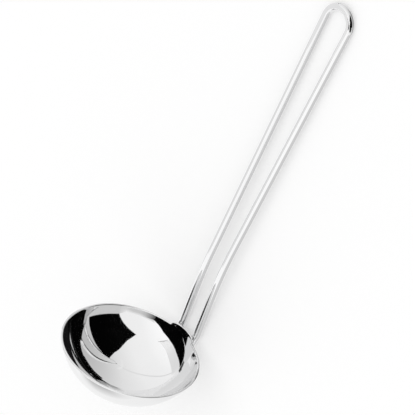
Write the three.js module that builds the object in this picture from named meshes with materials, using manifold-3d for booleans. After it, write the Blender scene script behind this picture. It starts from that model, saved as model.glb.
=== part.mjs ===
// Sauce spoon: a round bowl pressed from polished sheet, with a rounded lug on its rim, and a handle
// bent from one round wire into a hairpin loop whose two ends are welded to the outside of the bowl.
//
// Sizes are in millimetres. The pieces are drawn in the spoon's own axes: the rim lies at z = 0 with its
// middle at the origin, z points out of the bowl and x points at the lug. The last group lays the spoon down
// as it rests on a table: on the closed end of the loop and on the heels of the two legs, with +X along the
// handle, +Z up and the origin under the middle of its box.
import * as THREE from "three";
import { mergeVertices } from "three/addons/utils/BufferGeometryUtils.js";
import Module from "manifold-3d";

const wasm = await Module();
wasm.setup();

// Bowl
const RIM_DIAMETER = 75;
const BOWL_DEPTH = 26; // rim to the lowest point, outside
const SHEET_THICKNESS = 1.2;
const LUG_WIDTH = 17.6;
const LUG_RISE = 2.7; // top of the lug above the rim
const LUG_CORNER = 0.8; // hollow corner where the lug leaves the rim

// Handle wire
const WIRE_DIAMETER = 4;
const LEG_SPACING = 12; // between the middles of the legs, at the bowl
const LOOP_SPACING = 17.6; // between the middles of the legs, at the closed end
const LAP_LENGTH = 12; // wire laid along the wall of the bowl
const HEEL_RADIUS = 5; // tight bend where a leg leaves the wall
const BEND_HEIGHT = 42; // rim to the gentle bend
const BEND_RADIUS = 56;
const LOWER_LEAN = THREE.MathUtils.degToRad(2.4); // outwards, below the gentle bend
const UPPER_LEAN = THREE.MathUtils.degToRad(10.3); // outwards, above it
const UPPER_LENGTH = 170; // gentle bend to the outside of the closed end

// Fits and welds
const SEAT_GAP = 0.3; // left between pieces that touch
const BEAD_RADIUS = 3.2; // weld bead, about the line where the wire lies on the wall
const BEAD_LENGTH = 5; // from the wire's end up the wall, between the middles of the bead's round ends

// Fineness of the round surfaces
const BOWL_SEGMENTS = 72;
const WALL_STEPS = 12;
const OUTLINE_STEPS = 10;
const WIRE_HALF_SIDES = 7;
const BEAD_HALF_SIDES = 10;
const LAP_STEPS = 5;
const HEEL_STEPS = 4;
const BEND_STEPS = 3;
const LOWER_STEPS = 2;
const UPPER_STEPS = 6;
const LOOP_STEPS = 18;
const SAME_POINT = 1e-4; // corners nearer than this are one

const EX = new THREE.Vector3(1, 0, 0);
const EY = new THREE.Vector3(0, 1, 0);
const EZ = new THREE.Vector3(0, 0, 1);
const DOWN = new THREE.Vector3(0, 0, -1);
const RIGHT_ANGLE = Math.PI / 2;

// The wall of the bowl is part of a ball that passes through the rim and the lowest point.
const rimRadius = RIM_DIAMETER / 2;
const ballRadius = (rimRadius ** 2 + BOWL_DEPTH ** 2) / (2 * BOWL_DEPTH);
const ballHeight = ballRadius - BOWL_DEPTH;
const ballMiddle = new THREE.Vector3(0, 0, ballHeight);
const wireRadius = WIRE_DIAMETER / 2;
const legOffset = LEG_SPACING / 2;
const loopRadius = LOOP_SPACING / 2;

// An arc from one angle to another, counted from the first axis towards the second.
class Arc3 extends THREE.Curve {
  constructor(middle, firstAxis, secondAxis, radius, from, to) {
    super();
    Object.assign(this, { middle, firstAxis, secondAxis, radius, from, to });
  }
  getPoint(t, target = new THREE.Vector3()) {
    const angle = THREE.MathUtils.lerp(this.from, this.to, t);
    return target
      .copy(this.middle)
      .addScaledVector(this.firstAxis, this.radius * Math.cos(angle))
      .addScaledVector(this.secondAxis, this.radius * Math.sin(angle));
  }
}

// Curves joined end to end, each with its own number of steps.
class SteppedPath extends THREE.Curve {
  constructor(pieces) {
    super();
    this.pieces = pieces;
    this.steps = pieces.reduce((sum, piece) => sum + piece.steps, 0);
  }
  getPoint(t, target = new THREE.Vector3()) {
    let place = t * this.steps;
    for (const { curve, steps } of this.pieces) {
      if (place <= steps) return curve.getPoint(place / steps, target);
      place -= steps;
    }
    const last = this.pieces[this.pieces.length - 1];
    return last.curve.getPoint(1, target);
  }
  getUtoTmapping(u) {
    return u;
  }
}

// A round bar along a path, with flat ends.
function roundBar(path, radius, halfSides) {
  const section = new THREE.Shape().absarc(0, 0, radius, 0, 2 * Math.PI);
  return new THREE.ExtrudeGeometry(section, {
    steps: path.steps,
    curveSegments: halfSides,
    extrudePath: path,
  });
}

// A closed geometry as a solid that can be joined and cut.
function toSolid(geometry) {
  const bare = geometry.index ? geometry.toNonIndexed() : geometry.clone();
  bare.deleteAttribute("normal");
  bare.deleteAttribute("uv");
  const merged = mergeVertices(bare, SAME_POINT);
  const corners = merged.index.array;
  const kept = [];
  for (let i = 0; i < corners.length; i += 3) {
    const [a, b, c] = corners.slice(i, i + 3);
    if (a !== b && b !== c && c !== a) kept.push(a, b, c);
  }
  const mesh = new wasm.Mesh({
    numProp: 3,
    vertProperties: merged.getAttribute("position").array,
    triVerts: new Uint32Array(kept),
  });
  return new wasm.Manifold(mesh);
}

function toGeometry(solid) {
  const mesh = solid.getMesh();
  const geometry = new THREE.BufferGeometry();
  geometry.setAttribute("position", new THREE.BufferAttribute(mesh.vertProperties, 3));
  geometry.setIndex(new THREE.BufferAttribute(mesh.triVerts, 1));
  geometry.computeVertexNormals();
  return geometry;
}

// Points of the wall's section, as radius and height, from the lowest point up to a given height.
function wallSection(radius, topHeight) {
  const topAngle = Math.acos((ballHeight - topHeight) / radius);
  const points = [];
  for (let step = 0; step <= WALL_STEPS; step += 1) {
    const angle = (topAngle * step) / WALL_STEPS;
    points.push(new THREE.Vector2(radius * Math.sin(angle), ballHeight - radius * Math.cos(angle)));
  }
  return points;
}

// The lug seen from outside: a quarter of an oval on each side, run into the rim by a hollow corner.
function lugOutline(foot) {
  const half = LUG_WIDTH / 2;
  const shape = new THREE.Shape();
  shape.moveTo(half + LUG_CORNER, -foot);
  shape.lineTo(half + LUG_CORNER, 0);
  shape.quadraticCurveTo(half, 0, half, LUG_CORNER);
  shape.absellipse(0, LUG_CORNER, half, LUG_RISE - LUG_CORNER, 0, Math.PI);
  shape.quadraticCurveTo(-half, 0, -half - LUG_CORNER, 0);
  shape.lineTo(-half - LUG_CORNER, -foot);
  return shape;
}

// Height of the lug's edge at a distance from the middle of the lug.
function lugHeight(offset) {
  const half = LUG_WIDTH / 2;
  const share = Math.min(1, offset / half);
  return LUG_CORNER + (LUG_RISE - LUG_CORNER) * Math.sqrt(1 - share ** 2);
}

// The pressing is drawn a little taller than the lug, then trimmed down to the rim everywhere but at the lug.
function bowlGeometry() {
  const trim = 1;
  const tall = LUG_RISE + trim;
  const outside = wallSection(ballRadius, tall);
  const inside = wallSection(ballRadius - SHEET_THICKNESS, tall).reverse();
  const pressing = new THREE.LatheGeometry([...outside, ...inside], BOWL_SEGMENTS).rotateX(RIGHT_ANGLE);

  const blank = RIM_DIAMETER + 2 * tall;
  const aboveRim = new THREE.BoxGeometry(blank, blank, 2 * tall).translate(0, 0, tall);
  const outward = new THREE.Matrix4().makeBasis(EY, EZ, EX);
  const lug = new THREE.ExtrudeGeometry(lugOutline(trim), {
    depth: blank / 2,
    curveSegments: OUTLINE_STEPS,
    bevelEnabled: false,
  }).applyMatrix4(outward);
  const waste = toSolid(aboveRim).subtract(toSolid(lug));
  return toGeometry(toSolid(pressing).subtract(waste));
}

// Side view of a leg. An angle is the leg's slope against the rim.
// The leg follows the wall up to the edge of the lug, turns at the heel, and runs straight to the bend.
const legDistance = ballRadius + SEAT_GAP + wireRadius;
const lapRadius = Math.sqrt(legDistance ** 2 - legOffset ** 2);
const heelStart = lugHeight(legOffset) + SEAT_GAP;
const heelSlope = Math.acos((ballHeight - heelStart) / lapRadius);
const lowerSlope = RIGHT_ANGLE - LOWER_LEAN;
const upperSlope = RIGHT_ANGLE - UPPER_LEAN;
const lapEndSlope = heelSlope - LAP_LENGTH / lapRadius;

// The direction of a slope, and the direction square to it that points away from the bowl.
function along(slope) {
  return new THREE.Vector3(Math.cos(slope), 0, Math.sin(slope));
}
function outOf(slope) {
  return new THREE.Vector3(Math.sin(slope), 0, -Math.cos(slope));
}

const heelMiddle = ballMiddle.clone().addScaledVector(outOf(heelSlope), lapRadius - HEEL_RADIUS);
const lowerStart = heelMiddle.clone().addScaledVector(outOf(lowerSlope), HEEL_RADIUS);
const lowerRun = (BEND_HEIGHT - lowerStart.z) / Math.sin(lowerSlope);
const bendCorner = lowerStart.clone().addScaledVector(along(lowerSlope), lowerRun);
const bendReach = BEND_RADIUS * Math.tan((lowerSlope - upperSlope) / 2);
const bendStart = bendCorner.clone().addScaledVector(along(lowerSlope), -bendReach);
const bendEnd = bendCorner.clone().addScaledVector(along(upperSlope), bendReach);
const bendMiddle = bendStart.clone().addScaledVector(outOf(lowerSlope), BEND_RADIUS);

// Above the bend the legs spread until they touch the circle of the closed end.
const loopMiddleRun = UPPER_LENGTH - wireRadius - loopRadius;
const loopMiddle = bendCorner.clone().addScaledVector(along(upperSlope), loopMiddleRun);
const spreadRun = loopMiddleRun - bendReach;
const spread = Math.asin(loopRadius / Math.hypot(legOffset, spreadRun)) - Math.atan2(legOffset, spreadRun);
const loopTip = loopMiddle.clone().addScaledVector(along(upperSlope), loopRadius);

function aside(point, distance) {
  return point.clone().addScaledVector(EY, distance);
}

// Arc in a leg's side plane, given by the slopes at its ends. A bend to the outside has a negative radius.
function sideArc(middle, radius, fromSlope, toSlope, distance) {
  return new Arc3(aside(middle, distance), DOWN, EX, radius, fromSlope, toSlope);
}

function loopArc() {
  return new Arc3(loopMiddle, EY, along(upperSlope), loopRadius, Math.PI + spread, -spread);
}

// One leg from its end on the wall up to the closed end, on the side given by the sign.
function legPieces(side) {
  const distance = side * legOffset;
  const top = loopArc().getPoint(side > 0 ? 1 : 0);
  const lower = new THREE.LineCurve3(aside(lowerStart, distance), aside(bendStart, distance));
  const upper = new THREE.LineCurve3(aside(bendEnd, distance), top);
  return [
    { curve: sideArc(ballMiddle, lapRadius, lapEndSlope, heelSlope, distance), steps: LAP_STEPS },
    { curve: sideArc(heelMiddle, HEEL_RADIUS, heelSlope, lowerSlope, distance), steps: HEEL_STEPS },
    { curve: lower, steps: LOWER_STEPS },
    { curve: sideArc(bendMiddle, -BEND_RADIUS, lowerSlope, upperSlope, distance), steps: BEND_STEPS },
    { curve: upper, steps: UPPER_STEPS },
  ];
}

// The same piece run from its other end.
function turned({ curve, steps }) {
  const back = new THREE.Curve();
  back.getPoint = (t, target) => curve.getPoint(1 - t, target);
  return { curve: back, steps };
}

function handleGeometry() {
  const closedEnd = { curve: loopArc(), steps: LOOP_STEPS };
  const up = legPieces(-1);
  const down = legPieces(1).reverse().map(turned);
  return roundBar(new SteppedPath([...up, closedEnd, ...down]), wireRadius, WIRE_HALF_SIDES);
}

// A weld bead lies along the foot of the wire on the wall and rounds the wire's end.
function weldGeometry(side) {
  const distance = side * legOffset;
  const footShare = ballRadius / legDistance;
  const footRadius = lapRadius * footShare;
  const beadTopSlope = lapEndSlope + BEAD_LENGTH / footRadius;
  const foot = sideArc(ballMiddle, footRadius, lapEndSlope, beadTopSlope, distance * footShare);
  const bead = roundBar(new SteppedPath([{ curve: foot, steps: LAP_STEPS }]), BEAD_RADIUS, BEAD_HALF_SIDES);
  const ends = [foot.getPoint(0), foot.getPoint(1)].map((point) => {
    const dome = new THREE.SphereGeometry(BEAD_RADIUS, 2 * BEAD_HALF_SIDES, BEAD_HALF_SIDES);
    return toSolid(dome.translate(point.x, point.y, point.z));
  });

  const roomEndSlope = lapEndSlope - SEAT_GAP / lapRadius;
  const roomPath = new SteppedPath([
    { curve: sideArc(ballMiddle, lapRadius, roomEndSlope, heelSlope, distance), steps: LAP_STEPS },
  ]);
  const wireRoom = roundBar(roomPath, wireRadius + SEAT_GAP, BEAD_HALF_SIDES);
  const wallRoom = new THREE.SphereGeometry(ballRadius + SEAT_GAP, BOWL_SEGMENTS, BOWL_SEGMENTS / 2)
    .rotateX(RIGHT_ANGLE)
    .translate(0, 0, ballHeight);
  const filled = toSolid(bead).add(ends[0]).add(ends[1]);
  return toGeometry(filled.subtract(toSolid(wireRoom)).subtract(toSolid(wallRoom)));
}

const polishedSteel = { color: 0xd4d6d8, metalness: 1, roughness: 0.06 };
const weldedSteel = { color: 0xb9babb, metalness: 1, roughness: 0.3 };

function piece(name, geometry, finish) {
  const mesh = new THREE.Mesh(geometry, new THREE.MeshStandardMaterial(finish));
  mesh.name = name;
  return mesh;
}

const spoon = new THREE.Group();
spoon.add(piece("bowl", bowlGeometry(), polishedSteel));
spoon.add(piece("handle_loop", handleGeometry(), polishedSteel));
spoon.add(piece("left_weld", weldGeometry(1), weldedSteel));
spoon.add(piece("right_weld", weldGeometry(-1), weldedSteel));

// The table touches the heels and the tip of the loop: it is the line from the tip that just meets the heel.
const fromHeel = loopTip.clone().sub(heelMiddle);
const tableLean = Math.atan2(fromHeel.x, fromHeel.z) - Math.asin(HEEL_RADIUS / fromHeel.length());
spoon.rotation.y = RIGHT_ANGLE - tableLean;

const sauceSpoon = new THREE.Group();
sauceSpoon.add(spoon);
sauceSpoon.updateMatrixWorld(true);
const box = new THREE.Box3().setFromObject(sauceSpoon, true);
const middle = box.getCenter(new THREE.Vector3());
spoon.position.set(-middle.x, -middle.y, -box.min.z);

export default sauceSpoon;
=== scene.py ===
"""Sauce spoon: a polished pressed bowl with a lug on its rim and a hairpin wire handle, on a pale floor.

Lengths are metres, and angles are written in degrees. The pieces are drawn in the spoon's own axes, where
the rim lies at z = 0 with its middle at the origin, z points out of the bowl and x points at the lug.
spoon_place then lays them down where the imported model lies.
"""

import math

import bpy
import numpy as np
from mathutils import Matrix, Quaternion, Vector


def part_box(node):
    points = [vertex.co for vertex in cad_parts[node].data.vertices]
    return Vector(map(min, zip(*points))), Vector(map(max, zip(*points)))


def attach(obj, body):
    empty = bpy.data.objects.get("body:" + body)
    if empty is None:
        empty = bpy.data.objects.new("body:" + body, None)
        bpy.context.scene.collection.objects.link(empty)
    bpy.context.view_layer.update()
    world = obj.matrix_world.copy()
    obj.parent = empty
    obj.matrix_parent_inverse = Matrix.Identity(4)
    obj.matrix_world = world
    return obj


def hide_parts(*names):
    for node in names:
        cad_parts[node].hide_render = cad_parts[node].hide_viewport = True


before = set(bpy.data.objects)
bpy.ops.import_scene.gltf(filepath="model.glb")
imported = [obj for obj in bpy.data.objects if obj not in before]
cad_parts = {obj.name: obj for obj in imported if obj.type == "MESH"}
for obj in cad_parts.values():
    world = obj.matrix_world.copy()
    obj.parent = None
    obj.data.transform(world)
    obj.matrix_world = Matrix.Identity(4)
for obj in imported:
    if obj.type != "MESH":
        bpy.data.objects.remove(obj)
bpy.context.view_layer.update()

# Bowl
RIM_RADIUS = 0.0375
BOWL_DEPTH = 0.026
SHEET = 0.0012
LUG_HALF_WIDTH = 0.0088
LUG_RISE = 0.0027
LUG_CORNER = 0.0008
RIM_OUTER_ROUND = 0.0003
RIM_INNER_ROUND = 0.0006

# Handle wire
WIRE_RADIUS = 0.002
LEG_OFFSET = 0.006
LOOP_RADIUS = 0.0088
LAP_LENGTH = 0.012
HEEL_RADIUS = 0.005
BEND_HEIGHT = 0.042
BEND_RADIUS = 0.22
LOWER_LEAN = math.radians(2.4)
UPPER_LEAN = math.radians(10.3)
UPPER_LENGTH = 0.17
SEAT_GAP = 0.0003
WIRE_END_ROUND = 0.0005

# Weld beads
BEAD_RADIUS = 0.0011
BEAD_ASIDE = 0.0019
BEAD_LENGTH = 0.0062
BEAD_RIPPLE = 0.09
BEAD_RIPPLE_PITCH = 0.0011
BEAD_END_SHARE = 0.02

# Fineness of the meshes
WALL_STEPS = 56
RIM_STEPS = 220
RIM_ROUND_STEPS = 6
LUG_STEPS = 14
LAP_STEPS = 16
HEEL_STEPS = 14
LOWER_STEPS = 8
BEND_STEPS = 14
UPPER_STEPS = 30
LOOP_STEPS = 56
WIRE_END_STEPS = 5
WIRE_SIDES = 40
BEAD_STEPS = 64
BEAD_SIDES = 20

# Camera
CAMERA_AZIMUTH = 42.918
CAMERA_ELEVATION = 45.313
CAMERA_ROLL = -97.843
CAMERA_AIM = (-0.02605, 0.02494, 0.0)
CAMERA_DISTANCE = 3.0109
CAMERA_LENS = 500
CAMERA_SENSOR = 36
CAMERA_SIGHT = 100

# The wall is part of a ball through the rim and the lowest point.
BALL_RADIUS = (RIM_RADIUS ** 2 + BOWL_DEPTH ** 2) / (2 * BOWL_DEPTH)
BALL_HEIGHT = BALL_RADIUS - BOWL_DEPTH
BALL_MIDDLE = np.array((0.0, 0.0, BALL_HEIGHT))


# Side view of a leg

def along(slope):
    """Direction of a leg with this slope against the rim, in radians."""
    return np.array((math.cos(slope), 0.0, math.sin(slope)))


def out_of(slope):
    """Direction square to the slope, away from the bowl."""
    return np.array((math.sin(slope), 0.0, -math.cos(slope)))


def lug_height(offset):
    """Height of the lug's edge above the rim, at a distance from the lug's middle."""
    share = min(1.0, abs(offset) / LUG_HALF_WIDTH)
    return LUG_CORNER + (LUG_RISE - LUG_CORNER) * math.sqrt(1 - share ** 2)


LEG_DISTANCE = BALL_RADIUS + SEAT_GAP + WIRE_RADIUS
LAP_RADIUS = math.sqrt(LEG_DISTANCE ** 2 - LEG_OFFSET ** 2)
HEEL_SLOPE = math.acos((BALL_HEIGHT - lug_height(LEG_OFFSET) - SEAT_GAP) / LAP_RADIUS)
LAP_END_SLOPE = HEEL_SLOPE - LAP_LENGTH / LAP_RADIUS
LOWER_SLOPE = math.pi / 2 - LOWER_LEAN
UPPER_SLOPE = math.pi / 2 - UPPER_LEAN

HEEL_MIDDLE = BALL_MIDDLE + out_of(HEEL_SLOPE) * (LAP_RADIUS - HEEL_RADIUS)
LOWER_START = HEEL_MIDDLE + out_of(LOWER_SLOPE) * HEEL_RADIUS
BEND_CORNER = LOWER_START + along(LOWER_SLOPE) * (BEND_HEIGHT - LOWER_START[2]) / math.sin(LOWER_SLOPE)
BEND_REACH = BEND_RADIUS * math.tan((LOWER_SLOPE - UPPER_SLOPE) / 2)
BEND_START = BEND_CORNER - along(LOWER_SLOPE) * BEND_REACH
BEND_END = BEND_CORNER + along(UPPER_SLOPE) * BEND_REACH
BEND_MIDDLE = BEND_START + out_of(LOWER_SLOPE) * BEND_RADIUS

LOOP_RUN = UPPER_LENGTH - WIRE_RADIUS - LOOP_RADIUS
LOOP_MIDDLE = BEND_CORNER + along(UPPER_SLOPE) * LOOP_RUN
LOOP_TIP = LOOP_MIDDLE + along(UPPER_SLOPE) * LOOP_RADIUS
SPREAD_RUN = LOOP_RUN - BEND_REACH
SPREAD = math.asin(LOOP_RADIUS / math.hypot(LEG_OFFSET, SPREAD_RUN)) - math.atan2(LEG_OFFSET, SPREAD_RUN)


def spoon_place():
    """Where the spoon lies: on the heels of its legs and the tip of its loop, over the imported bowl."""
    reach = LOOP_TIP - HEEL_MIDDLE
    lean = math.atan2(reach[0], reach[2]) - math.asin(HEEL_RADIUS / np.linalg.norm(reach))
    turn = Matrix.Rotation(math.pi / 2 - lean, 4, "Y")
    back_of_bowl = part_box("bowl")[0].x
    shift_x = back_of_bowl + BALL_RADIUS - (turn @ Vector(BALL_MIDDLE)).x
    shift_z = WIRE_RADIUS - (turn @ Vector(LOOP_TIP)).z
    return Matrix.Translation((shift_x, 0, shift_z)) @ turn


PLACE = spoon_place()


# Meshes

def make_piece(name, points, faces, material, node):
    """A smooth mesh in the spoon's axes, laid in place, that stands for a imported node."""
    mesh = bpy.data.meshes.new(name)
    mesh.from_pydata([tuple(p) for p in points], [], faces)
    mesh.transform(PLACE)
    mesh.polygons.foreach_set("use_smooth", [True] * len(mesh.polygons))
    mesh.materials.append(material)
    mesh.update()
    piece = bpy.data.objects.new(name, mesh)
    bpy.context.scene.collection.objects.link(piece)
    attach(piece, "root")
    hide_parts(node)


def grid_faces(rows, columns, closed=True):
    """Quads between rows of points, each row closed on itself if asked."""
    faces = []
    for row in range(rows - 1):
        for column in range(columns if closed else columns - 1):
            beside = (column + 1) % columns
            low, high = row * columns, (row + 1) * columns
            faces.append((low + column, low + beside, high + beside, high + column))
    return faces


def lug_outline():
    """Half of the lug's edge as offset and height, from the rim up to the lug's middle."""
    outline = []
    for step in range(LUG_STEPS):
        t = step / LUG_STEPS
        offset = LUG_HALF_WIDTH + LUG_CORNER * (1 - t) ** 2
        outline.append((offset, LUG_CORNER * t ** 2))
    for step in range(2 * LUG_STEPS + 1):
        angle = math.pi / 2 * step / (2 * LUG_STEPS)
        rise = (LUG_RISE - LUG_CORNER) * math.sin(angle)
        outline.append((LUG_HALF_WIDTH * math.cos(angle), LUG_CORNER + rise))
    return outline


def rim_stations():
    """Angle about the bowl's axis and height of the edge there, all the way round."""
    lug = []
    for offset, height in lug_outline():
        radius = math.sqrt(BALL_RADIUS ** 2 - (BALL_HEIGHT - height) ** 2)
        lug.append((math.asin(offset / radius), height))
    first = lug[0][0]
    plain = [
        (first + (2 * math.pi - 2 * first) * step / RIM_STEPS, 0.0)
        for step in range(1, RIM_STEPS)
    ]
    left_half = [(-angle, height) for angle, height in lug]
    right_half = [(angle, height) for angle, height in reversed(lug[:-1])]
    return left_half + right_half + plain


def wall_section(height):
    """Radius and height along the wall: up the outside, over the edge, cut square, and down the inside."""
    edge_slope = math.acos((BALL_HEIGHT - height) / BALL_RADIUS)
    inner_radius = BALL_RADIUS - SHEET
    across = np.array((math.sin(edge_slope), -math.cos(edge_slope)))
    upward = np.array((math.cos(edge_slope), math.sin(edge_slope)))
    ball_middle = np.array((0.0, BALL_HEIGHT))

    def wall(radius, slope):
        return ball_middle + radius * np.array((math.sin(slope), -math.cos(slope)))

    def corner(from_middle, rounding, start):
        middle = ball_middle + from_middle * across - rounding * upward
        turns = np.linspace(start, start + math.pi / 2, RIM_ROUND_STEPS + 1)
        return [middle + rounding * (math.cos(turn) * across + math.sin(turn) * upward) for turn in turns]

    shares = np.arange(1, WALL_STEPS) / WALL_STEPS
    outer_end = edge_slope - RIM_OUTER_ROUND / BALL_RADIUS
    inner_end = edge_slope - RIM_INNER_ROUND / inner_radius
    return (
        [wall(BALL_RADIUS, outer_end * share) for share in shares]
        + corner(BALL_RADIUS - RIM_OUTER_ROUND, RIM_OUTER_ROUND, 0.0)
        + corner(inner_radius + RIM_INNER_ROUND, RIM_INNER_ROUND, math.pi / 2)
        + [wall(inner_radius, inner_end * share) for share in shares[::-1]]
    )


def make_bowl(material):
    """The pressing: one skin from the lowest point outside, over the edge, to the lowest point inside."""
    stations = rim_stations()
    columns = len(stations)
    rings = np.array([wall_section(height) for _, height in stations])
    angles = np.array([angle for angle, _ in stations])
    x = rings[:, :, 0] * np.cos(angles)[:, None]
    y = rings[:, :, 0] * np.sin(angles)[:, None]
    skin = np.stack((x, y, rings[:, :, 1]), axis=-1).transpose(1, 0, 2)
    rows = skin.shape[0]
    points = list(skin.reshape(-1, 3))
    faces = grid_faces(rows, columns)
    outer_pole, inner_pole = len(points), len(points) + 1
    points.append((0, 0, -BOWL_DEPTH))
    points.append((0, 0, -BOWL_DEPTH + SHEET))
    last = (rows - 1) * columns
    for column in range(columns):
        beside = (column + 1) % columns
        faces.append((outer_pole, beside, column))
        faces.append((inner_pole, last + column, last + beside))
    make_piece("bowl_pressing", points, faces, material, "bowl")


def side_arc(middle, radius, start, end, aside, count):
    """Points of an arc in a leg's side view, from one slope to another."""
    return [
        middle + radius * out_of(slope) + np.array((0.0, aside, 0.0))
        for slope in np.linspace(start, end, count)
    ]


def leg_points(side):
    """Centre line of one leg, from its end on the wall up to the closed end."""
    aside = side * LEG_OFFSET
    offset = np.array((0.0, aside, 0.0))
    turn = -SPREAD if side > 0 else math.pi + SPREAD
    top = LOOP_MIDDLE + LOOP_RADIUS * (
        math.cos(turn) * np.array((0.0, 1.0, 0.0)) + math.sin(turn) * along(UPPER_SLOPE)
    )
    lap = side_arc(BALL_MIDDLE, LAP_RADIUS, LAP_END_SLOPE, HEEL_SLOPE, aside, LAP_STEPS)
    heel = side_arc(HEEL_MIDDLE, HEEL_RADIUS, HEEL_SLOPE, LOWER_SLOPE, aside, HEEL_STEPS)[1:]
    lower = [
        LOWER_START + offset + (BEND_START - LOWER_START) * t
        for t in np.linspace(0, 1, LOWER_STEPS)[1:]
    ]
    bend = side_arc(BEND_MIDDLE, -BEND_RADIUS, LOWER_SLOPE, UPPER_SLOPE, aside, BEND_STEPS)[1:]
    upper = [
        BEND_END + offset + (top - BEND_END - offset) * t
        for t in np.linspace(0, 1, UPPER_STEPS)[1:]
    ]
    return lap + heel + lower + bend + upper


def loop_points():
    """Centre line of the closed end, between the tops of the two legs."""
    points = []
    for turn in np.linspace(math.pi + SPREAD, -SPREAD, LOOP_STEPS)[1:-1]:
        across = math.cos(turn) * np.array((0.0, 1.0, 0.0))
        points.append(LOOP_MIDDLE + LOOP_RADIUS * (across + math.sin(turn) * along(UPPER_SLOPE)))
    return points


def sweep(path, radii, sides):
    """Rings of points about a path, with a radius for each path point, and the faces of the closed bar."""
    path = np.array(path)
    tangents = np.gradient(path, axis=0)
    tangents /= np.linalg.norm(tangents, axis=1, keepdims=True)
    normal = np.cross(tangents[0], (0.0, 1.0, 0.0))
    points = []
    for place, tangent, radius in zip(path, tangents, radii):
        normal = normal - tangent * normal.dot(tangent)
        normal /= np.linalg.norm(normal)
        binormal = np.cross(tangent, normal)
        for side in range(sides):
            angle = 2 * math.pi * side / sides
            points.append(place + radius * (math.cos(angle) * normal + math.sin(angle) * binormal))
    faces = grid_faces(len(path), sides)
    faces.append(tuple(reversed(range(sides))))
    faces.append(tuple((len(path) - 1) * sides + side for side in range(sides)))
    return points, faces


def rounded_ends(path, radius, end_round):
    """Path and radii of a bar whose two ends are eased by a small round."""
    path = [np.array(p) for p in path]
    first = path[0] - path[1]
    last = path[-1] - path[-2]
    first /= np.linalg.norm(first)
    last /= np.linalg.norm(last)
    head, tail = [], []
    for step in range(WIRE_END_STEPS):
        angle = math.pi / 2 * step / WIRE_END_STEPS
        inset = end_round * (1 - math.sin(angle))
        less = end_round * (1 - math.cos(angle))
        head.insert(0, (path[0] - first * inset, less))
        tail.append((path[-1] - last * inset, less))
    inner = [(p, 0.0) for p in path[1:-1]]
    joined = head + inner + tail
    return [p for p, _ in joined], [radius - less for _, less in joined]


def make_handle(material):
    """The whole wire, from one welded end round the closed end to the other."""
    path = leg_points(-1) + loop_points() + list(reversed(leg_points(1)))
    path, radii = rounded_ends(path, WIRE_RADIUS, WIRE_END_ROUND)
    points, faces = sweep(path, radii, WIRE_SIDES)
    make_piece("wire_loop", points, faces, material, "handle_loop")


def make_weld(name, node, side, material):
    """A bead that runs up both sides of a wire's end and round its tip, in small overlapping ripples."""
    foot_share = BALL_RADIUS / LEG_DISTANCE
    foot_radius = LAP_RADIUS * foot_share
    tip_slope = LAP_END_SLOPE
    top_slope = tip_slope + BEAD_LENGTH / foot_radius
    middle_line = side * LEG_OFFSET * foot_share

    def on_wall(slope, aside):
        """Point on the wall at a slope and a distance aside."""
        flat = math.sqrt(BALL_RADIUS ** 2 - aside ** 2)
        return BALL_MIDDLE + flat * out_of(slope) + np.array((0.0, aside, 0.0))

    path = [on_wall(s, middle_line + BEAD_ASIDE) for s in np.linspace(top_slope, tip_slope, BEAD_STEPS)]
    for angle in np.linspace(0, math.pi, BEAD_STEPS // 2)[1:-1]:
        slope = tip_slope - BEAD_ASIDE * math.sin(angle) / foot_radius
        path.append(on_wall(slope, middle_line + BEAD_ASIDE * math.cos(angle)))
    path += [on_wall(s, middle_line - BEAD_ASIDE) for s in np.linspace(tip_slope, top_slope, BEAD_STEPS)]
    run = np.cumsum([0.0] + [np.linalg.norm(b - a) for a, b in zip(path, path[1:])])
    radii = []
    for length in run:
        ripple = BEAD_RIPPLE * abs(math.sin(math.pi * length / BEAD_RIPPLE_PITCH))
        ends = min(1.0, length / BEAD_RADIUS, (run[-1] - length) / BEAD_RADIUS)
        rounding = math.sqrt(max(BEAD_END_SHARE, 1 - (1 - ends) ** 2))
        radii.append(BEAD_RADIUS * (1 - BEAD_RIPPLE + ripple) * rounding)
    points, faces = sweep(path, radii, BEAD_SIDES)
    make_piece(name, points, faces, material, node)


# Materials

TINT_END = 0.7


def new_material(name):
    """A material with an empty node tree, and the tree."""
    material = bpy.data.materials.new(name)
    material.use_nodes = True
    tree = material.node_tree
    tree.nodes.clear()
    return material, tree


def add(tree, kind, **values):
    """A node with its plain values, given by socket name or else by property."""
    node = tree.nodes.new(kind)
    for key, value in values.items():
        socket = key.replace("_", " ").title()
        if socket in node.inputs:
            node.inputs[socket].default_value = value
        else:
            setattr(node, key, value)
    return node


def rubbing_group():
    """Fine rubbing lines and faint cloudiness, shared by all the steel."""
    group = bpy.data.node_groups.new("rubbing_marks", "ShaderNodeTree")
    face = group.interface
    face.new_socket("Vector", in_out="INPUT", socket_type="NodeSocketVector")
    face.new_socket("Smooth", in_out="INPUT", socket_type="NodeSocketFloat")
    face.new_socket("Dull", in_out="INPUT", socket_type="NodeSocketFloat")
    face.new_socket("Roughness", in_out="OUTPUT", socket_type="NodeSocketFloat")
    face.new_socket("Height", in_out="OUTPUT", socket_type="NodeSocketFloat")
    face.new_socket("Cloud", in_out="OUTPUT", socket_type="NodeSocketFloat")
    given = group.nodes.new("NodeGroupInput")
    made = group.nodes.new("NodeGroupOutput")
    lines = add(group, "ShaderNodeTexNoise", scale=1.0, detail=3.0)
    cloud = add(group, "ShaderNodeTexNoise", scale=0.02, detail=4.0)
    rough = group.nodes.new("ShaderNodeMapRange")
    rough.inputs["From Min"].default_value = 0.3
    rough.inputs["From Max"].default_value = 0.75
    link = group.links.new
    link(given.outputs["Vector"], lines.inputs["Vector"])
    link(given.outputs["Vector"], cloud.inputs["Vector"])
    link(cloud.outputs["Fac"], rough.inputs["Value"])
    link(given.outputs["Smooth"], rough.inputs["To Min"])
    link(given.outputs["Dull"], rough.inputs["To Max"])
    link(rough.outputs["Result"], made.inputs["Roughness"])
    link(lines.outputs["Fac"], made.inputs["Height"])
    link(cloud.outputs["Fac"], made.inputs["Cloud"])
    return group


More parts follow.
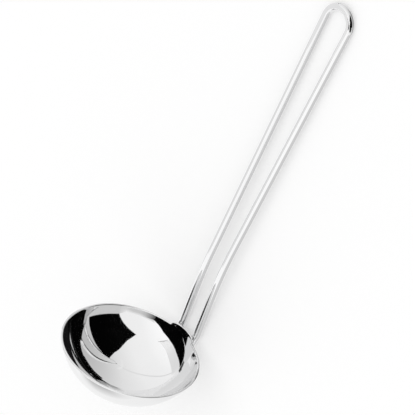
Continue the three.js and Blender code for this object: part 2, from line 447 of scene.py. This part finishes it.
def rubbed_steel(name, marks, line_scale, smooth, dull, dim, bright, tint_start, bump_strength, bump_depth):
    """Stainless steel between two tints and two finishes, with rubbing lines drawn out by three scales."""
    material, tree = new_material(name)
    link = tree.links.new
    place = add(tree, "ShaderNodeTexCoord")
    stretch = add(tree, "ShaderNodeMapping")
    stretch.inputs["Scale"].default_value = line_scale
    wear = add(tree, "ShaderNodeGroup", node_tree=marks)
    wear.inputs["Smooth"].default_value = smooth
    wear.inputs["Dull"].default_value = dull
    tint = add(tree, "ShaderNodeValToRGB")
    tint.color_ramp.elements[0].position = tint_start
    tint.color_ramp.elements[0].color = (*dim, 1)
    tint.color_ramp.elements[1].position = TINT_END
    tint.color_ramp.elements[1].color = (*bright, 1)
    bump = add(tree, "ShaderNodeBump", strength=bump_strength, distance=bump_depth)
    steel = add(tree, "ShaderNodeBsdfPrincipled", metallic=1.0)
    out = add(tree, "ShaderNodeOutputMaterial")
    link(place.outputs["Object"], stretch.inputs["Vector"])
    link(stretch.outputs["Vector"], wear.inputs["Vector"])
    link(wear.outputs["Cloud"], tint.inputs["Fac"])
    link(wear.outputs["Height"], bump.inputs["Height"])
    link(tint.outputs["Color"], steel.inputs["Base Color"])
    link(wear.outputs["Roughness"], steel.inputs["Roughness"])
    link(bump.outputs["Normal"], steel.inputs["Normal"])
    link(steel.outputs["BSDF"], out.inputs["Surface"])
    return material


def polished_sheet(marks):
    """Mirror-polished sheet."""
    return rubbed_steel(
        "polished_sheet", marks, line_scale=(900, 900, 900), smooth=0.02, dull=0.06,
        dim=(0.86, 0.86, 0.865), bright=(0.9, 0.9, 0.9), tint_start=0.35,
        bump_strength=0.02, bump_depth=0.00002,
    )


def polished_wire(marks):
    """Polished drawn wire, with lines along the handle."""
    return rubbed_steel(
        "polished_wire", marks, line_scale=(150, 2200, 2200), smooth=0.03, dull=0.09,
        dim=(0.85, 0.85, 0.855), bright=(0.9, 0.9, 0.9), tint_start=0.35,
        bump_strength=0.02, bump_depth=0.00002,
    )


def rubbed_weld(marks):
    """The bead: steel rubbed over after welding, duller, and darker in patches."""
    return rubbed_steel(
        "rubbed_weld", marks, line_scale=(2500, 2500, 2500), smooth=0.22, dull=0.4,
        dim=(0.42, 0.4, 0.38), bright=(0.72, 0.715, 0.7), tint_start=0.3,
        bump_strength=0.3, bump_depth=0.0001,
    )


# Studio

# Light runs up to six times round inside the bowl before it leaves.
REFLECTIONS_IN_BOWL = 8

# Cards stand far off round the bowl, unless a card has a distance or a middle of its own.
CARD_DISTANCE = 12.0
CARD_STAGGER = 0.5
CARD_PIECES = 5
BLACK = 0.001
NEARLY_BLACK = 0.01

# Points that the cards stand round
BOWL_MIDDLE = PLACE @ Vector((0, 0, 0))
BALL_POINT = PLACE @ Vector(BALL_MIDDLE)
LOOP_END = PLACE @ Vector(LOOP_MIDDLE)
UNDER_HEELS = (-0.055, 0.008, -0.1)
LEFT_WALL = (-0.099, 0.0345, 0.0405)
LOWER_LEFT_WALL = (-0.0955, 0.0318, 0.026)
FAR_RIM = (-0.0995, 0.029, 0.0625)

FLOOR_SIZE = 12.0
FLOOR_ALBEDO = 0.68
FLOOR_GLOW = 0.34

# The walls' levels from their dark side to their light side, along one axis in reflections and along
# another in the light that falls on the floor
GRADE_AXIS = (-0.45, 0.3, 0.8)
SHADOW_AXIS = (-0.5, -2.0, 1.0)
WALL_LEVELS = ((0.0, 0.52), (0.25, 0.82), (0.45, 0.94), (0.65, 0.97), (0.85, 1.08))

# Painted shade: after more than two reflections the walls show nearly black, for the shade where light runs
# many times between the parts of the spoon
DEEP_AFTER = 2.5
PAINTED_DEEP_SHADE = (0.03, 0.03, 0.03, 1)

# Places of the vector sockets on a Mix node
MIX_VECTOR_A = 4
MIX_VECTOR_B = 5
MIX_VECTOR_OUT = 1


def heading(azimuth, elevation, cover=1.0):
    """A direction, with azimuth counted from the handle's side towards +Y, and a card's cover there."""
    flat = math.cos(math.radians(elevation))
    return np.array((
        flat * math.cos(math.radians(azimuth)),
        flat * math.sin(math.radians(azimuth)),
        math.sin(math.radians(elevation)),
        cover,
    ))


def between(first, last, pieces):
    """Headings on the way from one to another, without the last."""
    steps = []
    for piece in range(pieces):
        mixed = first + (last - first) * piece / pieces
        mixed[:3] /= np.linalg.norm(mixed[:3])
        steps.append(mixed)
    return steps


def filled_line(headings, pieces):
    """Headings all along a line, with each stretch cut in pieces."""
    filled = []
    for first, last in zip(headings, headings[1:]):
        filled += between(first, last, pieces)
    return filled + [headings[-1]]


def card_finish(name, level, bounces):
    """Plain grey where the card covers; a card with bounces shows only after that many reflections."""
    material, tree = new_material(name)
    link = tree.links.new
    cover = add(tree, "ShaderNodeAttribute", attribute_name="cover")
    clear = add(tree, "ShaderNodeBsdfTransparent")
    glow = add(tree, "ShaderNodeEmission", color=(level, level, level, 1), strength=1.0)
    path = add(tree, "ShaderNodeLightPath")
    deep = add(tree, "ShaderNodeMath", operation="GREATER_THAN")
    deep.inputs[1].default_value = bounces - 0.5
    share = add(tree, "ShaderNodeMath", operation="MULTIPLY")
    either = add(tree, "ShaderNodeMixShader")
    out = add(tree, "ShaderNodeOutputMaterial")
    link(path.outputs["Glossy Depth"], deep.inputs[0])
    link(deep.outputs["Value"], share.inputs[0])
    link(cover.outputs["Fac"], share.inputs[1])
    link(share.outputs["Value"], either.inputs["Fac"])
    link(clear.outputs["BSDF"], either.inputs[1])
    link(glow.outputs["Emission"], either.inputs[2])
    link(either.outputs["Shader"], out.inputs["Surface"])
    return material


def studio_card(name, edges, level, bounces=1, distance=CARD_DISTANCE, middle=BOWL_MIDDLE):
    """A card round a middle point, skinned over edges of as many headings each, seen only in the polish."""
    lines = [filled_line([heading(*h) for h in edge], CARD_PIECES) for edge in edges]
    columns = [filled_line(list(column), CARD_PIECES) for column in zip(*lines)]
    rows = list(zip(*columns))
    points = [tuple(np.array(middle) + distance * h[:3]) for row in rows for h in row]
    covers = [h[3] for row in rows for h in row]
    mesh = bpy.data.meshes.new(name)
    mesh.from_pydata(points, [], grid_faces(len(rows), len(columns), closed=False))
    mesh.attributes.new("cover", "FLOAT", "POINT").data.foreach_set("value", covers)
    mesh.materials.append(card_finish(name, level, bounces))
    card = bpy.data.objects.new(name, mesh)
    bpy.context.scene.collection.objects.link(card)
    card.visible_camera = False
    card.visible_diffuse = False
    card.visible_shadow = False


def bowl_cards():
    """Cards that the inside of the bowl shows."""
    # The dark shape with four sides in the middle of the bowl
    studio_card("dark_in_middle", [
        [(-76, 15.5), (-71, 17.5), (-61, 23.5), (-50, 31.5), (-36, 41)],
        [(-76, 8), (-70, 9), (-60, 12), (-47, 18), (-30, 25)],
        [(-76, -5), (-69, -4), (-57, -1), (-42, 3), (-20.5, 8)],
        [(-76, -15), (-67, -14), (-54, -12), (-38, -8), (-18, -1.5)],
        [(-75.5, -35.5), (-65, -35), (-50, -32), (-35.5, -27.5), (-11.5, -14)],
    ], BLACK)
    # The dark shape on the lug and the wall beside it, with its fading end and the grey strip next to it
    studio_card("dark_on_lug", [
        [(-78, 69), (-59, 77.5), (-23, 81), (16, 79), (48, 73.5), (60, 66.5), (67, 59.5),
         (70.5, 52.5), (72.5, 45.5), (75, 38.5), (77.5, 31), (80, 20)],
        [(-105, 72), (-140, 76), (-170, 75), (165, 73), (145, 69), (130, 65), (122, 60),
         (117, 54), (114, 46), (112, 38), (112, 30), (112, 18)],
    ], BLACK)
    studio_card("fading_end_by_lug", [
        [(-78, 69, 0.85), (-90, 71, 0.9), (-105, 72, 1)],
        [(-77, 63.5, 0.5), (-87, 63.5, 0.5), (-98, 63.5, 0.5)],
        [(-77, 55, 0.14), (-86, 55, 0.14), (-96, 55, 0.14)],
        [(-77, 47, 0), (-84, 47, 0), (-94, 47, 0)],
    ], BLACK, distance=CARD_DISTANCE - CARD_STAGGER)
    studio_card("grey_beside_lug", [
        [(21, 63.5, 0.5), (41, 57, 0.5), (46, 54, 0.6), (56, 42, 0.9),
         (63, 31), (69, 19), (71.5, 12, 0.4)],
        [(57, 68, 0.5), (65, 62.5, 0.5), (67.5, 59.5, 0.6), (71, 52.5, 0.9),
         (75.5, 38.5), (80.5, 22), (82, 13, 0.4)],
    ], level=0.8)
    # The grey band under the far rim
    studio_card("grey_under_far_rim", [
        [(-75, -36), (-75, 14), (-79, 26, 0), (-78, 36, 0), (-76, 50, 0), (-70, 62, 0), (-60, 74, 0)],
        [(-92, -36), (-92, 14), (-86, 26), (-83, 36), (-83, 50), (-80, 62), (-74, 70)],
        [(-96, -36), (-96, 14), (-96, 26), (-96, 36), (-96, 50), (-96, 62), (-96, 70)],
    ], level=0.64)
    # The inner edge of the dark crescent on the left, painted shadow: the spoon's shadow on the floor under
    # the handle and the lug, as the bowl shows it
    studio_card("painted_floor_shadow_crescent", [
        [(-13, -57), (-9, -56), (-2.5, -54), (4.5, -52), (11, -49.5), (17, -46), (23, -42.5)],
        [(-16, -66), (-10, -65), (-2, -63), (7, -61), (16, -58), (23, -54), (28, -48)],
    ], BLACK)
    # A faint arc and a short line
    studio_card("faint_arc", [
        [(-2, -8, 0), (12, -1.5), (30, 7), (45, 11), (60, 13), (74, 16)],
        [(-2, -7, 0), (12, 0.5), (30, 9), (45, 13), (60, 15), (74, 18)],
    ], level=0.78)
    studio_card("short_line_by_lug", [
        [(12, 62.8, 0.3), (21, 64.4), (30, 65.8), (40, 67.2), (51, 67.4)],
        [(12, 64.2, 0.3), (21, 66), (30, 67.3), (40, 68.5), (51, 68.6)],
    ], level=0.5)


def second_reflection_cards():
    """Cards that the bowl shows only where it reflects itself."""
    # The crescent on the left, with its grey borders
    studio_card("dark_over_middle", [
        [(-64, 20), (-56, 26), (-49, 31), (-37, 40)],
        [(-64, 36), (-56, 38.5), (-49, 38.5), (-37, 44)],
    ], BLACK, bounces=2)
    studio_card("dark_beside_middle", [
        [(-29, 54), (-30, 40), (-35, 27), (-29, 14), (-23, 2), (-16, -14)],
        [(-14, 55), (-2, 42), (-2, 28), (-10, 19), (-13.5, 8), (-9.5, -10)],
    ], BLACK, bounces=2)
    studio_card("grey_beside_middle", [
        [(-9.5, 18), (-13, 8), (-9, -10)],
        [(3, 16, 0), (4, 6, 0), (5, -12, 0)],
    ], level=0.3, bounces=2)
    studio_card("grey_over_middle", [
        [(-64, 36.5), (-56, 39), (-49, 39), (-37, 44), (-29, 46)],
        [(-66, 52, 0.5), (-56, 54, 0.5), (-46, 57, 0.5), (-32, 60, 0.5), (-22, 60, 0.5)],
    ], level=0.45, bounces=2)
    # Round the lug: the light wall right of it, the lower end of its dark shape, no bright line from the
    # far rim, and a small grey mark
    studio_card("light_right_of_lug", [
        [(-58, 46), (-52, 44.5), (-46, 43), (-36, 41), (-26, 39), (-15, 38)],
        [(-66, 60), (-56, 61), (-46, 62), (-36, 62), (-26, 61), (-15, 60)],
    ], level=0.82, bounces=2, distance=0.04, middle=LEFT_WALL)
    studio_card("dark_end_by_lug", [
        [(-16, 53), (-10, 53.2), (-6, 53.3), (-3, 53), (1.5, 52, 0)],
        [(-16, 63), (-9, 60), (-7, 58.2), (-3.5, 56.8), (1.5, 56, 0)],
    ], level=0.05, bounces=2, distance=0.03, middle=LOWER_LEFT_WALL)
    studio_card("dark_by_far_rim", [
        [(-80, 0), (-40, -5), (0, -5), (40, -5), (90, 0)],
        [(-100, 80), (-60, 85), (0, 88), (60, 85), (110, 80)],
    ], BLACK, bounces=2, distance=0.0105, middle=FAR_RIM)
    studio_card("grey_mark_by_lug", [
        [(4, 64.5), (20, 65), (45, 61), (62, 56)],
        [(4, 68), (20, 70), (50, 68), (66, 62)],
    ], level=0.4, bounces=2)
    studio_card("dark_line_on_mark", [
        [(6, 65.5), (21, 66), (44, 63.5)],
        [(6, 67.5), (21, 68), (44, 65.5)],
    ], NEARLY_BLACK, bounces=2, distance=CARD_DISTANCE - CARD_STAGGER)
    # The light right wall, which shows the same side over and over, its greyer part below the lug, and
    # painted shade round the heels, on the legs where the crescent shows them
    studio_card("light_right_wall", [
        [(12, 16), (40, 16), (72, 16), (78, 22)],
        [(-8, 66), (20, 68), (50, 66), (72, 55)],
    ], level=0.87, bounces=3)
    studio_card("grey_on_right_wall", [
        [(-8, 58), (5, 54.5), (8, 44), (14, 30), (26, 12), (45, -5, 0.3)],
        [(-8, 63), (5, 64), (25, 63), (45, 56), (62, 46), (80, 25, 0.3)],
    ], level=0.87, bounces=2, distance=0.06, middle=LOWER_LEFT_WALL)
    # A nearly black cap at the floor round the heels, seen after three reflections: painted shade for the
    # shade between the legs and the bowl
    studio_card("painted_shade_round_heels", [
        [(-165, 66), (-130, 72), (-90, 76), (-50, 72), (-15, 62)],
        [(165, 66), (130, 68), (90, 68), (50, 64), (15, 60)],
    ], NEARLY_BLACK, bounces=3, distance=0.112, middle=UNDER_HEELS)


def rim_cards():
    """Cards that the cut edge of the sheet and the outside under it show."""
    studio_card("dark_on_left_edge", [
        [(60, -13), (62, -17), (67, -25), (73, -33)],
        [(66, -10), (70, -15), (75, -22), (80, -30)],
    ], BLACK)
    studio_card("dark_on_far_edge", [
        [(77, -40), (80, -49)],
        [(86, -38), (94, -47)],
    ], BLACK)
    # A dark cap straight below, painted shadow: the floor in the spoon's own shadow, as the outer corner of
    # the rim shows it
    round_about = range(0, 361, 30)
    studio_card("painted_floor_shadow_under_spoon", [
        [(azimuth, -64, 0) for azimuth in round_about],
        [(azimuth, -70) for azimuth in round_about],
        [(azimuth, -90) for azimuth in round_about],
    ], level=0.1)
    studio_card("grey_under_near_rim", [
        [(152, 4, 0), (165, 6, 1), (180, 6, 1), (196, 4, 0)],
        [(152, -18, 0), (165, -18, 0), (180, -18, 0), (196, -18, 0)],
    ], level=0.5)


def handle_cards():
    """Cards that the wire shows."""
    # The stripes on the lower legs, which show the inside of the bowl
    studio_card("dark_in_bowl_for_legs", [
        [(124, -6, 0.5), (124, 12, 0.5), (126, 24, 0), (137, 40, 0)],
        [(135, -6), (135, 16), (137, 26), (144, 44, 0)],
        [(157, -6), (157, 20), (157, 30), (157, 46, 0)],
        [(178, -6, 0), (178, 16, 0), (178, 28, 0), (178, 46, 0)],
    ], NEARLY_BLACK, bounces=2, distance=0.031, middle=BALL_POINT)
    studio_card("light_in_bowl_for_legs", [
        [(124, -6), (124, 24), (137, 36), (137, 75)],
        [(152, -6), (152, 24), (152, 36), (152, 75)],
        [(180, -6), (180, 24), (180, 36), (180, 75)],
        [(240, -6), (240, 24), (240, 36), (240, 75)],
    ], level=0.85, bounces=2, distance=0.0295, middle=BALL_POINT)
    studio_card("grey_right_of_legs", [
        [(-111, 24, 0), (-118, 26, 0), (-128, 28, 0), (-140, 20, 0), (-152, 10, 0)],
        [(-111, 2), (-120, 4), (-130, 4), (-141, 0), (-152, -10, 0.5)],
        [(-111, -64), (-120, -64), (-130, -64), (-141, -64), (-152, -64, 0.5)],
    ], level=0.64)
    studio_card("grey_left_of_legs", [
        [(112, -14, 0), (112, 10), (114, 35), (122, 55), (130, 62, 0)],
        [(122, -14, 0), (122, 10), (124, 30), (140, 50), (155, 60, 0)],
    ], level=0.78, distance=CARD_DISTANCE + CARD_STAGGER)
    # The closed end: the dark patch on its tip, and a light cover over the rest
    studio_card("dark_on_loop_tip", [
        [(-69, 15), (-58, 21), (-46, 29), (-36, 34)],
        [(-69, 2), (-58, 4), (-46, 5), (-22.5, 8)],
        [(-69, -16), (-58, -16), (-38, -16), (-14, -11)],
    ], BLACK, distance=0.45)
    studio_card("light_over_loop", [
        [(60, -28), (100, -5), (150, 25), (190, 55), (250, 70)],
        [(0, 74), (-30, 76), (-60, 76), (-85, 72), (-98, 68)],
    ], level=0.87, distance=0.04, middle=LOOP_END)


def make_floor():
    """A pale floor, white to the camera where nothing stands over it, that keeps the spoon's shadow."""
    mesh = bpy.data.meshes.new("floor")
    half = FLOOR_SIZE / 2
    corners = [(-half, -half, 0), (half, -half, 0), (half, half, 0), (-half, half, 0)]
    mesh.from_pydata(corners, [], [(0, 1, 2, 3)])
    material, tree = new_material("pale_floor")
    matt = add(tree, "ShaderNodeBsdfDiffuse", color=(FLOOR_ALBEDO, FLOOR_ALBEDO, FLOOR_ALBEDO, 1))
    glow = add(tree, "ShaderNodeEmission", color=(1, 1, 1, 1), strength=FLOOR_GLOW)
    path = add(tree, "ShaderNodeLightPath")
    to_camera = add(tree, "ShaderNodeMixShader")
    both = add(tree, "ShaderNodeAddShader")
    out = add(tree, "ShaderNodeOutputMaterial")
    link = tree.links.new
    link(path.outputs["Is Camera Ray"], to_camera.inputs["Fac"])
    link(glow.outputs["Emission"], to_camera.inputs[2])
    link(matt.outputs["BSDF"], both.inputs[0])
    link(to_camera.outputs["Shader"], both.inputs[1])
    link(both.outputs["Shader"], out.inputs["Surface"])
    mesh.materials.append(material)
    floor = bpy.data.objects.new("floor", mesh)
    bpy.context.scene.collection.objects.link(floor)
    floor.visible_glossy = False


def make_world():
    """White studio walls, greyer low down on the handle's side; the floor's light comes from the right."""
    world = bpy.data.worlds.new("white_studio")
    bpy.context.scene.world = world
    world.use_nodes = True
    tree = world.node_tree
    tree.nodes.clear()
    place = add(tree, "ShaderNodeTexCoord")
    path = add(tree, "ShaderNodeLightPath")
    axis = add(tree, "ShaderNodeMix", data_type="VECTOR")
    axis.inputs[MIX_VECTOR_A].default_value = GRADE_AXIS
    axis.inputs[MIX_VECTOR_B].default_value = SHADOW_AXIS
    grade = add(tree, "ShaderNodeVectorMath", operation="DOT_PRODUCT")
    height = add(tree, "ShaderNodeMapRange")
    height.inputs["From Min"].default_value = -1.0
    walls = add(tree, "ShaderNodeValToRGB")
    stops = walls.color_ramp.elements
    while len(stops) < len(WALL_LEVELS):
        stops.new(0.5)
    for stop, (place_up, level) in zip(stops, WALL_LEVELS):
        stop.position = place_up
        stop.color = (level, level, level, 1)
    # The deep-reflection colour is painted shade: after more than two reflections the walls turn nearly
    # black
    deep = add(tree, "ShaderNodeMath", operation="GREATER_THAN")
    deep.inputs[1].default_value = DEEP_AFTER
    room = add(tree, "ShaderNodeBackground", strength=1.0)
    dim = add(tree, "ShaderNodeBackground", color=PAINTED_DEEP_SHADE, strength=1.0)
    white = add(tree, "ShaderNodeBackground", color=(1, 1, 1, 1), strength=1.0)
    reflected = add(tree, "ShaderNodeMixShader")
    seen = add(tree, "ShaderNodeMixShader")
    out = add(tree, "ShaderNodeOutputWorld")
    link = tree.links.new
    link(path.outputs["Is Diffuse Ray"], axis.inputs[0])
    link(place.outputs["Generated"], grade.inputs[0])
    link(axis.outputs[MIX_VECTOR_OUT], grade.inputs[1])
    link(grade.outputs["Value"], height.inputs["Value"])
    link(height.outputs["Result"], walls.inputs["Fac"])
    link(walls.outputs["Color"], room.inputs["Color"])
    link(path.outputs["Glossy Depth"], deep.inputs[0])
    link(deep.outputs["Value"], reflected.inputs["Fac"])
    link(room.outputs["Background"], reflected.inputs[1])
    link(dim.outputs["Background"], reflected.inputs[2])
    link(path.outputs["Is Camera Ray"], seen.inputs["Fac"])
    link(reflected.outputs["Shader"], seen.inputs[1])
    link(white.outputs["Background"], seen.inputs[2])
    link(seen.outputs["Shader"], out.inputs["Surface"])


def make_camera():
    """A long lens from the side where the photograph was taken, turned so that the handle points up."""
    azimuth, elevation = math.radians(CAMERA_AZIMUTH), math.radians(CAMERA_ELEVATION)
    towards = Vector((
        math.sin(azimuth) * math.cos(elevation),
        -math.cos(azimuth) * math.cos(elevation),
        math.sin(elevation),
    ))
    data = bpy.data.cameras.new("camera")
    data.lens = CAMERA_LENS
    data.sensor_width = CAMERA_SENSOR
    data.clip_end = CAMERA_SIGHT
    camera = bpy.data.objects.new("camera", data)
    camera.location = Vector(CAMERA_AIM) + CAMERA_DISTANCE * towards
    level = towards.to_track_quat("Z", "Y")
    camera.rotation_mode = "QUATERNION"
    camera.rotation_quaternion = level @ Quaternion((0, 0, 1), math.radians(CAMERA_ROLL))
    bpy.context.scene.collection.objects.link(camera)
    bpy.context.scene.camera = camera


make_camera()
bpy.context.scene.view_settings.view_transform = "Standard"
bpy.context.scene.cycles.glossy_bounces = REFLECTIONS_IN_BOWL

rubbing = rubbing_group()
sheet_steel = polished_sheet(rubbing)
wire_steel = polished_wire(rubbing)
bead_steel = rubbed_weld(rubbing)

make_bowl(sheet_steel)
make_handle(wire_steel)
make_weld("left_weld_bead", "left_weld", 1, bead_steel)
make_weld("right_weld_bead", "right_weld", -1, bead_steel)

make_floor()
make_world()
bowl_cards()
second_reflection_cards()
rim_cards()
handle_cards()
